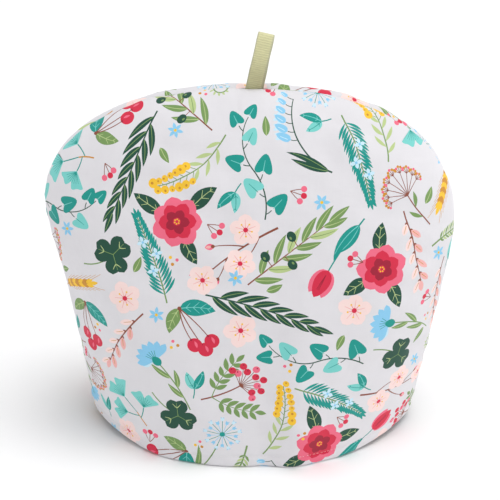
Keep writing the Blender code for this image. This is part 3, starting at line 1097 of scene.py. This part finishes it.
def thread_material(name, colour):
    """Spun polyester sewing thread: two twisted plies show as a fine slant, with a low gloss.

    The slant repeats every 0.7 mm, which is coarser than in the real thread, so that it shows."""
    material, shader = new_material(name, Roughness=0.55, Sheen_Weight=0.1, Specular_IOR_Level=0.4)
    add = partial(add_node, material)
    place = add("TexCoord").outputs["Object"]
    ply = add("TexWave", {"bands_direction": "DIAGONAL", "Scale": wave_scale(0.0007),
                          "Distortion": 0.4}, Vector=place).outputs["Fac"]
    # The grooves between the plies are painted darker than the plies: painted shade that follows the
    # bump
    shaded = (*(c * 0.86 for c in colour), 1)
    tint = add("Mix", {"data_type": "RGBA", 6: shaded, 7: (*colour, 1)}, _0=ply)
    bump = add("Bump", {"Strength": 0.4, "Distance": 0.0001}, Height=ply)
    connect(material.node_tree, shader, Base_Color=tint, Normal=bump)


# ---------------------------------------------------------------- pieces

def finished_mesh(built, name):
    """Ends a bmesh as a smooth mesh."""
    mesh = bpy.data.meshes.new(name)
    built.to_mesh(mesh)
    built.free()
    mesh.shade_smooth()
    return mesh


def new_piece(name, mesh, material):
    """An object at the origin that rides on the cosy and takes this material."""
    mesh.materials.append(bpy.data.materials[material])
    piece = bpy.data.objects.new(name, mesh)
    bpy.context.collection.objects.link(piece)
    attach(piece, BODY)
    return piece


def read_numbers(items, name):
    """One whole number of each of a mesh's items."""
    numbers = np.empty(len(items), np.int32)
    items.foreach_get(name, numbers)
    return numbers


def write_values(items, name, values):
    """Gives each of a mesh's items its value."""
    items.foreach_set(name, values.astype(np.float32).ravel())


# Distances between points on the cut edge, on the printed face and on the inner cloth
EDGE_PITCH, PRINT_PITCH, INNER_PITCH = 0.0023, 0.0036, 0.0070
# Rows of points along the seam, by their distance from it, and along the hem, by their height
SEAM_ROWS = np.array((0.4, 0.9, 1.5, 2.3, 3.3, 4.5, 6.0, 8.0, 10.5, 13.5)) * MM
ROLL_ROWS = HEM_ROLL - ROLL_CLOTH * np.array((0.85, 0.7, 0.55, 0.4, 0.27, 0.14, 0.0))
HEM_ROWS = (*ROLL_ROWS, *(np.array((4.6, 6.2, 7.6, 8.7, 9.6, 10.5, 11.4, 12.3, 13.6, 15.2)) * MM))
INNER_ROWS = (*ROLL_ROWS[::2], *(np.array((6.0, 9.3, 10.5, 11.7, 12.5, 13.1, 16.0)) * MM))
INNER_CLOTH, SEAM_EDGE = -1, -2       # these stand for an ink's number on unprinted faces


def sew_flat(facing, flat, triangles, inks, inner_flat, inner_triangles):
    """The closed cloth of a panel, still flat: both faces, joined along the seam and the hem.

    Every face keeps the number of its ink, and every vertex that of the flat point it was made
    from, with the inner cloth's points after the printed face's.
    """
    built = bmesh.new()
    made_from = built.verts.layers.int.new("made_from")
    ink = built.faces.layers.int.new("ink")
    outer_verts = [built.verts.new((x, y, 0)) for x, y in flat.tolist()]
    for triangle, number in zip(triangles, inks):
        built.faces.new([outer_verts[i] for i in triangle])[ink] = number
    inner_verts = [built.verts.new((x, y, -0.01)) for x, y in inner_flat.tolist()]
    for triangle in inner_triangles:
        built.faces.new([inner_verts[i] for i in reversed(triangle)])[ink] = INNER_CLOTH
    for number, vert in enumerate(built.verts):
        vert[made_from] = number
    bmesh.ops.delete(built, geom=[v for v in built.verts if not v.link_faces], context="VERTS")
    rims = [e for e in built.edges if e.is_boundary]
    for face in bmesh.ops.bridge_loops(built, edges=rims)["faces"]:
        face[ink] = SEAM_EDGE

    # The printed face and the inner cloth meet at the lowest line of the roll
    low = [v for v in {v for e in rims for v in e.verts} if v.co.y < CUT_BOTTOM + 1e-6]
    low_outer = {round(v.co.x, 6): v for v in low if v[made_from] < len(flat)}
    low_inner = [v for v in low if v[made_from] >= len(flat)]
    pairs = {v: low_outer[round(v.co.x, 6)] for v in low_inner if round(v.co.x, 6) in low_outer}
    if len(pairs) != len(low_inner):
        raise RuntimeError("the hem's two edges don't match")
    bmesh.ops.weld_verts(built, targetmap=pairs)
    if any(not e.is_manifold for e in built.edges):
        raise RuntimeError("the cloth isn't closed")

    # The flat printed face looks up in the front panel and down in the back one
    bmesh.ops.recalc_face_normals(built, faces=built.faces[:])
    built.normal_update()
    printed = max(built.faces, key=lambda face: face[ink] >= 0 and face.calc_area())
    if (printed.normal.z < 0) == (facing == FRONT):
        bmesh.ops.reverse_faces(built, faces=built.faces[:])
    return built


BAKE_SCALE = 2.35            # how much of the bake map a metre of the printed face takes
INNER_BAKE_WIDTH = 0.5       # the same for the plain inner cloth, along the hem
INNER_BAKE_HEIGHT = 0.42     # and up from it


def bake_places(flat, ink, printed):
    """Where each corner is baked: the printed face fills the map, the inner cloth lies small
    below it, and the seam's narrow edge runs along the bottom."""
    x, y = flat[:, 0], flat[:, 1] - CUT_BOTTOM
    outer = stacked(0.5 + x * BAKE_SCALE, 0.16 + y * BAKE_SCALE)
    inner = stacked(0.12 + x * INNER_BAKE_WIDTH, 0.005 + y * INNER_BAKE_HEIGHT)
    round_rim = np.arctan2(flat[:, 1] + 0.02, flat[:, 0]) / math.pi
    rim = stacked(0.30 + round_rim * 0.68, np.where(printed, 0.02, 0.05))
    outer[ink == INNER_CLOTH] = inner[ink == INNER_CLOTH]
    outer[ink == SEAM_EDGE] = rim[ink == SEAM_EDGE]
    return outer


def make_panel(name, facing, seed, ground, inks):
    """One panel: printed face, rolled hem, inner cloth and the narrow face along the seam."""
    shapes = panel_print(seed)
    points = spread_points(PRINT_PITCH, SEAM_ROWS, HEM_ROWS)
    flat, triangles, tops = cut_cloth(cut_edge(EDGE_PITCH), shapes, points)
    inner_points = spread_points(INNER_PITCH, SEAM_ROWS[2::3], INNER_ROWS)
    inner_flat, inner_triangles, _ = cut_cloth(rim_of(flat, triangles), [], inner_points)
    names = list(inks)
    numbers = [names.index(shapes[top][0]) + 1 if top >= 0 else 0 for top in tops]
    mesh = finished_mesh(sew_flat(facing, flat, triangles, numbers, inner_flat, inner_triangles), name)

    made_from = read_numbers(mesh.attributes["made_from"].data, "value")
    ink = read_numbers(mesh.attributes["ink"].data, "value")
    for layer in ("ink", "made_from"):
        mesh.attributes.remove(mesh.attributes[layer])
    faces = ((flat, False), (inner_flat, True))
    places = np.concatenate([cloth_place(facing, *face) for face in faces])
    facings = np.concatenate([cloth_normals(facing, *face) for face in faces])
    write_values(mesh.vertices, "co", places[made_from])

    # Per corner: the ink's colour, the place on the flat cloth, and where it is baked
    corner_from = made_from[read_numbers(mesh.loops, "vertex_index")]
    ink = np.repeat(ink, read_numbers(mesh.polygons, "loop_total"))
    palette = np.array([(*colour, 1.0) for colour in (ground, *inks.values())])
    colours = mesh.color_attributes.new("print", "FLOAT_COLOR", "CORNER")
    write_values(colours.data, "color", palette[np.maximum(ink, 0)])
    on_flat = np.concatenate((flat, inner_flat))[corner_from]
    write_values(mesh.uv_layers.new(name="cloth").uv, "vector", on_flat)
    baked = bake_places(on_flat, ink, corner_from < len(flat))
    write_values(mesh.uv_layers.new(name="OFBake").uv, "vector", baked)

    # A normal of zero leaves the seam's edge its own
    corner_normals = facings[corner_from]
    corner_normals[ink == SEAM_EDGE] = 0.0
    mesh.normals_split_custom_set(corner_normals.tolist())
    return new_piece(name, mesh, "cotton_poplin_print")


def hem_run(facing, step, inside):
    """Flat places along the hem's stitching, a step apart on the cloth, from side to side."""
    reach, samples, end_gap = 0.19, 3000, 0.004
    line = level(np.linspace(-reach, reach, samples), HEM_STITCHES_AT)
    line = line[seam_distance(line) > end_gap]
    run = travelled(cloth_place(facing, line, inside))
    marks = np.arange(step / 2, run[-1], step)
    return level(np.interp(marks, run, line[:, 0]), HEM_STITCHES_AT)


AT_ONCE = 20                 # stitches are made in lots of this many, because a large mesh is slow
STITCH_HEIGHT = 0.42         # half a stitch's height, as a share of the thread's width
STITCH_LIFT = 0.12           # how far its middle stands above the cloth, as such a share
STITCH_AHEAD = (0.0006, 0)   # it points to the place this far along the hem


def make_stitches(name, facing, sizes):
    """The hem's row of straight stitches on one panel, outside and inside."""
    thread = sizes.thread_width
    lot = bpy.data.meshes.new("lot")
    row = bmesh.new()
    size = Matrix.Diagonal((sizes.stitch_length / 2, thread / 2, thread * STITCH_HEIGHT, 1))
    long_way = Matrix.Rotation(math.pi / 2, 4, "Y")
    for inside in (False, True):
        marks = hem_run(facing, sizes.stitch_length + sizes.stitch_gap, inside)
        places = cloth_place(facing, marks, inside)
        ahead = cloth_place(facing, marks + STITCH_AHEAD, inside) - places
        outwards = cloth_normals(facing, marks, inside)
        stitches = list(zip(places.tolist(), ahead.tolist(), outwards.tolist()))
        for first in range(0, len(stitches), AT_ONCE):
            few = bmesh.new()
            for place, forward, up in stitches[first:first + AT_ONCE]:
                up = Vector(up)
                forward = Vector(forward).normalized()
                side = up.cross(forward).normalized()
                turned = Matrix((forward, side, up)).transposed().to_4x4()
                lifted = Matrix.Translation(Vector(place) + up * thread * STITCH_LIFT)
                bmesh.ops.create_uvsphere(few, u_segments=6, v_segments=4, radius=1.0,
                                          matrix=lifted @ turned @ size @ long_way)
            few.to_mesh(lot)
            few.free()
            row.from_mesh(lot)
    bpy.data.meshes.remove(lot)
    return new_piece(name, finished_mesh(row, name), "sewing_thread")


def ribbon_line(step):
    """The ribbon's middle line in its own (y, z) plane: up in front, over, and down behind.

    Also the distance along it at each point. It is widest half way up and closes towards its top."""
    radius = LOOP_OPENING / 2
    foot_half = (LEG_GAP + RIBBON_THICKNESS) / 2
    height = np.linspace(-FOOT_DEPTH, LOOP_BENDS_FROM, 400)
    opened = smooth_step(height, LOOP_OPENS_FROM, LOOP_OPENS_TO)
    leg = stacked(-foot_half - (radius - foot_half) * opened, height)
    turn = np.linspace(0, math.pi, 400)[1:-1]
    fold = stacked(-radius * np.cos(turn) * np.abs(np.cos(turn)) ** 0.10,
                   LOOP_BENDS_FROM + (LOOP_RISE - LOOP_BENDS_FROM) * np.sin(turn))
    line = np.concatenate((leg, fold, leg[::-1] * (-1, 1)))
    run = travelled(line)
    marks = np.linspace(0, run[-1], int(run[-1] / step) + 1)
    return stacked(*(np.interp(marks, run, values) for values in line.T)), marks


RIBBON_LENGTH = float(ribbon_line(MM)[1][-1])
# Where the ribbon's lengthwise edges lie, as shares of its width from its middle
RIBBON_COLUMNS = (-0.5, -0.488, -0.462, -0.42, -0.3, -0.15, 0.0, 0.15, 0.3, 0.42, 0.462, 0.488, 0.5)
RIB_FADE = 0.06              # ribs fade out over this share of the width at each edge
EDGE_POWER = 30              # the higher, the less the woven edges are rounded


def make_ribbon(name, sizes):
    """The loop: one folded strip with ribs across it, sewn into the seam at both ends."""
    line, run = ribbon_line(sizes.rib_pitch / 6)
    ahead = np.gradient(line, axis=0)
    ahead /= np.linalg.norm(ahead, axis=1)[:, None]
    outwards = stacked(-ahead[:, 1], ahead[:, 0])
    segments, rows = len(RIBBON_COLUMNS) - 1, len(line) - 1
    built = bmesh.new()
    bmesh.ops.create_grid(built, x_segments=segments, y_segments=rows, size=1.0)
    doubled = set(bmesh.ops.extrude_face_region(built, geom=built.faces[:])["geom"])
    spot = {}
    for vert in built.verts:
        column = round((vert.co.x + 1) / 2 * segments)
        row = round((vert.co.y + 1) / 2 * rows)
        spot[vert] = (RIBBON_COLUMNS[column], row, vert in doubled)
    lean = Matrix.Rotation(LOOP_LEAN, 3, "Y")
    for vert, (place, row, is_inner) in spot.items():
        rounded = math.sqrt(max(0.0, 1 - abs(2 * place) ** EDGE_POWER))
        rib = math.cos(FULL_TURN * run[row] / sizes.rib_pitch)
        rib *= min(1.0, (0.5 - abs(place)) / RIB_FADE)
        half = (RIBBON_THICKNESS / 2 + sizes.rib_height * (rib - 1)) * rounded
        y, z = line[row] + outwards[row] * half * (-1 if is_inner else 1)
        twist = LOOP_TWIST * max(0.0, z - TWIST_STARTS) / (LOOP_RISE - TWIST_STARTS)
        splay = LEG_SPLAY * (1 - z / LOOP_RISE) * (1 if line[row][0] > 0 else -1)
        wander = 0.00012 * math.sin(run[row] / 0.0041) + 0.0001 * math.sin(run[row] / 0.0093 + 1)
        x = place * RIBBON_WIDTH + splay + wander
        turned = Vector((x * math.cos(twist) - y * math.sin(twist),
                         x * math.sin(twist) + y * math.cos(twist), z))
        vert.co = lean @ turned + Vector((RIBBON_X, 0.0, TOP_HEIGHT - VALLEY_DEPTH))

    # The two faces are baked side by side, and the narrow edges in strips beside them
    cloth = built.loops.layers.uv.new("cloth")
    baked = built.loops.layers.uv.new("OFBake")
    for face in built.faces:
        kinds = {spot[loop.vert][2] for loop in face.loops}
        for loop in face.loops:
            place, row, is_inner = spot[loop.vert]
            across = 0.03 + 0.4 * is_inner + (place + 0.5) * 0.34
            if len(kinds) == 2:
                across = 0.84 + (0.04 if place > 0 else 0.0) + 0.02 * is_inner
            loop[cloth].uv = (place * RIBBON_WIDTH, run[row])
            loop[baked].uv = (across, 0.02 + 0.96 * run[row] / RIBBON_LENGTH)
    bmesh.ops.recalc_face_normals(built, faces=built.faces[:])
    if built.calc_volume(signed=True) < 0:
        bmesh.ops.reverse_faces(built, faces=built.faces[:])
    return new_piece(name, finished_mesh(built, name), "polyester_grosgrain")


# ---------------------------------------------------------------- properties

def length_property(label, about, metres):
    return FloatProperty(name=label, description=about, default=metres, min=0.0, unit="LENGTH",
                         subtype="DISTANCE", precision=5)


def colour_property(label, about, text):
    return FloatVectorProperty(name=label, description=about, default=from_hex(text), size=3,
                               min=0.0, max=1.0, subtype="COLOR")


class TeaCosySizes(bpy.types.PropertyGroup):
    """Sizes of the sewn and woven detail. The cosy's own shape is fixed by the solids."""

    thread_pitch: length_property("Thread pitch", "Distance between the cotton's drawn threads", 0.0009)
    stitch_length: length_property("Stitch length", "Length of one hem stitch", 0.0026)
    stitch_gap: length_property("Stitch gap", "Gap between two hem stitches", 0.0005)
    thread_width: length_property("Thread width", "Thickness of the sewing thread", 0.0003)
    rib_pitch: length_property("Rib pitch", "Distance between the ribbon's ribs", 0.0018)
    rib_height: length_property("Rib height", "How far a rib stands out", 0.00014)
    front_seed: IntProperty(name="Front layout", default=3,
                            description="Seed of the front panel's print")
    back_seed: IntProperty(name="Back layout", default=5,
                           description="Seed of the back panel's print")


class TeaCosyColours(bpy.types.PropertyGroup):
    """Colours of the cloth, the thread, the ribbon and the floor."""

    cotton: colour_property("Cotton", "The print's white ground and the inner cloth", "#DFDDE0")
    thread: colour_property("Thread", "Sewing thread of the hem", "#F2EFEE")
    ribbon: colour_property("Ribbon", "Middle of the ribbon", "#DCD9A9")
    ribbon_edge: colour_property("Ribbon edge", "The ribbon's woven edges", "#BFBE9C")
    floor: colour_property("Floor", "The studio floor", "#F8F8F8")


class TeaCosyInks(bpy.types.PropertyGroup):
    """Ink colours of the print."""

    crimson: colour_property("Crimson", "Berries and inner petals", "#D52A47")
    wine: colour_property("Wine", "Flower hearts", "#A01C36")
    coral: colour_property("Coral", "Outer petals and buds", "#EE6C86")
    blush: colour_property("Blush", "Pale blossom", "#F8DDD8")
    rose: colour_property("Rose", "Blossom's rays and catkins", "#F0B2AE")
    teal: colour_property("Teal", "Leaves and needles", "#16958A")
    aqua: colour_property("Aqua", "Light teal leaves and veins", "#7AD0C9")
    bottle: colour_property("Bottle green", "Dark leaves", "#214E3D")
    sage: colour_property("Sage", "Leaves and stalks", "#78985A")
    lime: colour_property("Lime", "Light leaves and veins", "#B9CB8C")
    sky: colour_property("Sky", "Blue petals", "#8CCBEC")
    ice: colour_property("Ice", "Pale blue petals", "#C9E7F5")
    yellow: colour_property("Yellow", "Mimosa, ears and stamens", "#F6C536")
    ochre: colour_property("Ochre", "Ears and stalks", "#CC8E30")
    rust: colour_property("Rust", "Twigs", "#8B4C3A")


# ---------------------------------------------------------------- operators

class TEACOSY_OT_materials(bpy.types.Operator):
    """Makes the cotton, ribbon and thread"""

    bl_idname = "tea_cosy.materials"
    bl_label = "Cloth, Ribbon and Thread"

    def execute(self, context):
        sizes = context.scene.tea_cosy_sizes
        colours = context.scene.tea_cosy_colours
        cotton_material("cotton_poplin_print", sizes)
        ribbon_material("polyester_grosgrain", sizes, tuple(colours.ribbon), tuple(colours.ribbon_edge))
        thread_material("sewing_thread", tuple(colours.thread))
        return {"FINISHED"}


def add_panel(scene, name, node, facing, seed):
    """Makes a panel in place of this node."""
    inks = {ink: tuple(getattr(scene.tea_cosy_inks, ink)) for ink in TeaCosyInks.__annotations__}
    panel = make_panel(name, facing, seed, tuple(scene.tea_cosy_colours.cotton), inks)
    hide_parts(node)


class TEACOSY_OT_front_panel(bpy.types.Operator):
    """Makes the front panel of printed cotton"""

    bl_idname = "tea_cosy.front_panel"
    bl_label = "Front Panel"

    def execute(self, context):
        seed = context.scene.tea_cosy_sizes.front_seed
        add_panel(context.scene, "front_panel_cloth", "front_panel", FRONT, seed)
        return {"FINISHED"}


class TEACOSY_OT_back_panel(bpy.types.Operator):
    """Makes the back panel of printed cotton"""

    bl_idname = "tea_cosy.back_panel"
    bl_label = "Back Panel"

    def execute(self, context):
        seed = context.scene.tea_cosy_sizes.back_seed
        add_panel(context.scene, "back_panel_cloth", "back_panel", BACK, seed)
        return {"FINISHED"}


class TEACOSY_OT_hem_stitches(bpy.types.Operator):
    """Sews the row of stitches along the hem"""

    bl_idname = "tea_cosy.hem_stitches"
    bl_label = "Hem Stitches"

    def execute(self, context):
        make_stitches("front_hem_stitches", FRONT, context.scene.tea_cosy_sizes)
        make_stitches("back_hem_stitches", BACK, context.scene.tea_cosy_sizes)
        return {"FINISHED"}


class TEACOSY_OT_ribbon_loop(bpy.types.Operator):
    """Makes the folded ribbon loop"""

    bl_idname = "tea_cosy.ribbon_loop"
    bl_label = "Ribbon Loop"

    def execute(self, context):
        ribbon = make_ribbon("ribbon_loop_strip", context.scene.tea_cosy_sizes)
        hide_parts("ribbon_loop")
        return {"FINISHED"}


FLOOR_REACH = 30.0           # far enough that the floor runs to the horizon
# The studio's walls are white near the floor and dimmer higher up
WALL_GLOW = {"From Min": 0.10, "From Max": 0.30, "To Min": 1.03, "To Max": 0.47}
# Each distant light: where it comes from, how wide it looks in degrees, and its strength
LIGHTS = {
    "overhead_light": ((0.20, -0.03, 0.98), 42.0, 1.80),
    "side_light": ((0.93, -0.22, 0.30), 30.0, 0.62),
    "fill_light": ((-0.90, -0.30, 0.32), 60.0, 0.32),
}
CAMERA_TARGET = Vector((0.0, 0.0, 0.15))
CAMERA_AZIMUTH = math.radians(0.9)
CAMERA_ELEVATION = math.radians(26.4)
CAMERA_DISTANCE = 1.009


class TEACOSY_OT_stage(bpy.types.Operator):
    """Sets the floor, the lights and the camera"""

    bl_idname = "tea_cosy.stage"
    bl_label = "Floor, Lights and Camera"

    def execute(self, context):
        scene = context.scene
        built = bmesh.new()
        bmesh.ops.create_grid(built, x_segments=1, y_segments=1, size=FLOOR_REACH)
        paper, _ = new_material("studio_paper", Base_Color=(*scene.tea_cosy_colours.floor, 1.0),
                                Roughness=0.9, Specular_IOR_Level=0.1)
        floor = bpy.data.objects.new("studio_floor", finished_mesh(built, "studio_floor"))
        floor.data.materials.append(paper)
        context.collection.objects.link(floor)

        world = bpy.data.worlds.new("studio_world")
        world.use_nodes = True
        towards = add_node(world, "TexCoord")
        height = add_node(world, "SeparateXYZ", Vector=towards).outputs["Z"]
        strength = add_node(world, "MapRange", WALL_GLOW, Value=height)
        background = world.node_tree.nodes["Background"]
        background.inputs["Color"].default_value = (0.98, 0.98, 1.0, 1.0)
        connect(world.node_tree, background, Strength=strength)
        scene.world = world
        for name, (towards, softness, brightness) in LIGHTS.items():
            light = bpy.data.lights.new(name, "SUN")
            light.angle = math.radians(softness)
            light.energy = brightness
            lamp = bpy.data.objects.new(name, light)
            lamp.location = Vector(towards) * 2.0
            lamp.rotation_euler = Vector(towards).to_track_quat("Z", "Y").to_euler()
            context.collection.objects.link(lamp)

        level_part = math.cos(CAMERA_ELEVATION)
        away = Vector((math.sin(CAMERA_AZIMUTH) * level_part, -math.cos(CAMERA_AZIMUTH) * level_part,
                       math.sin(CAMERA_ELEVATION)))
        data = bpy.data.cameras.new("camera")
        data.lens = 87.7
        data.sensor_width = 36.0
        data.shift_y = 0.0124
        data.clip_start = 0.01
        camera = bpy.data.objects.new("camera", data)
        camera.location = CAMERA_TARGET + away * CAMERA_DISTANCE
        camera.rotation_euler = (-away).to_track_quat("-Z", "Y").to_euler()
        context.collection.objects.link(camera)
        scene.camera = camera
        scene.view_settings.view_transform = "Standard"
        return {"FINISHED"}


OPERATORS = (
    TEACOSY_OT_materials,
    TEACOSY_OT_front_panel,
    TEACOSY_OT_back_panel,
    TEACOSY_OT_hem_stitches,
    TEACOSY_OT_ribbon_loop,
    TEACOSY_OT_stage,
)


class TEACOSY_PT_panel(bpy.types.Panel):
    """Lists the steps that make the tea cosy"""

    bl_idname = "TEACOSY_PT_panel"
    bl_label = "Tea Cosy"
    bl_space_type = "VIEW_3D"
    bl_region_type = "UI"
    bl_category = "Tea Cosy"

    def draw(self, context):
        for operator in OPERATORS:
            self.layout.operator(operator.bl_idname)
        scene = context.scene
        for settings in (scene.tea_cosy_sizes, scene.tea_cosy_colours, scene.tea_cosy_inks):
            box = self.layout.box()
            for name in type(settings).__annotations__:
                box.prop(settings, name)


CLASSES = (TeaCosySizes, TeaCosyColours, TeaCosyInks, *OPERATORS, TEACOSY_PT_panel)


def register():
    for item in CLASSES:
        bpy.utils.register_class(item)
    bpy.types.Scene.tea_cosy_sizes = PointerProperty(type=TeaCosySizes)
    bpy.types.Scene.tea_cosy_colours = PointerProperty(type=TeaCosyColours)
    bpy.types.Scene.tea_cosy_inks = PointerProperty(type=TeaCosyInks)


def unregister():
    del bpy.types.Scene.tea_cosy_inks
    del bpy.types.Scene.tea_cosy_colours
    del bpy.types.Scene.tea_cosy_sizes
    for item in reversed(CLASSES):
        bpy.utils.unregister_class(item)


def main():
    register()
    bpy.ops.tea_cosy.materials()
    bpy.ops.tea_cosy.front_panel()
    bpy.ops.tea_cosy.back_panel()
    bpy.ops.tea_cosy.hem_stitches()
    bpy.ops.tea_cosy.ribbon_loop()
    bpy.ops.tea_cosy.stage()


if __name__ == "__main__":
    main()
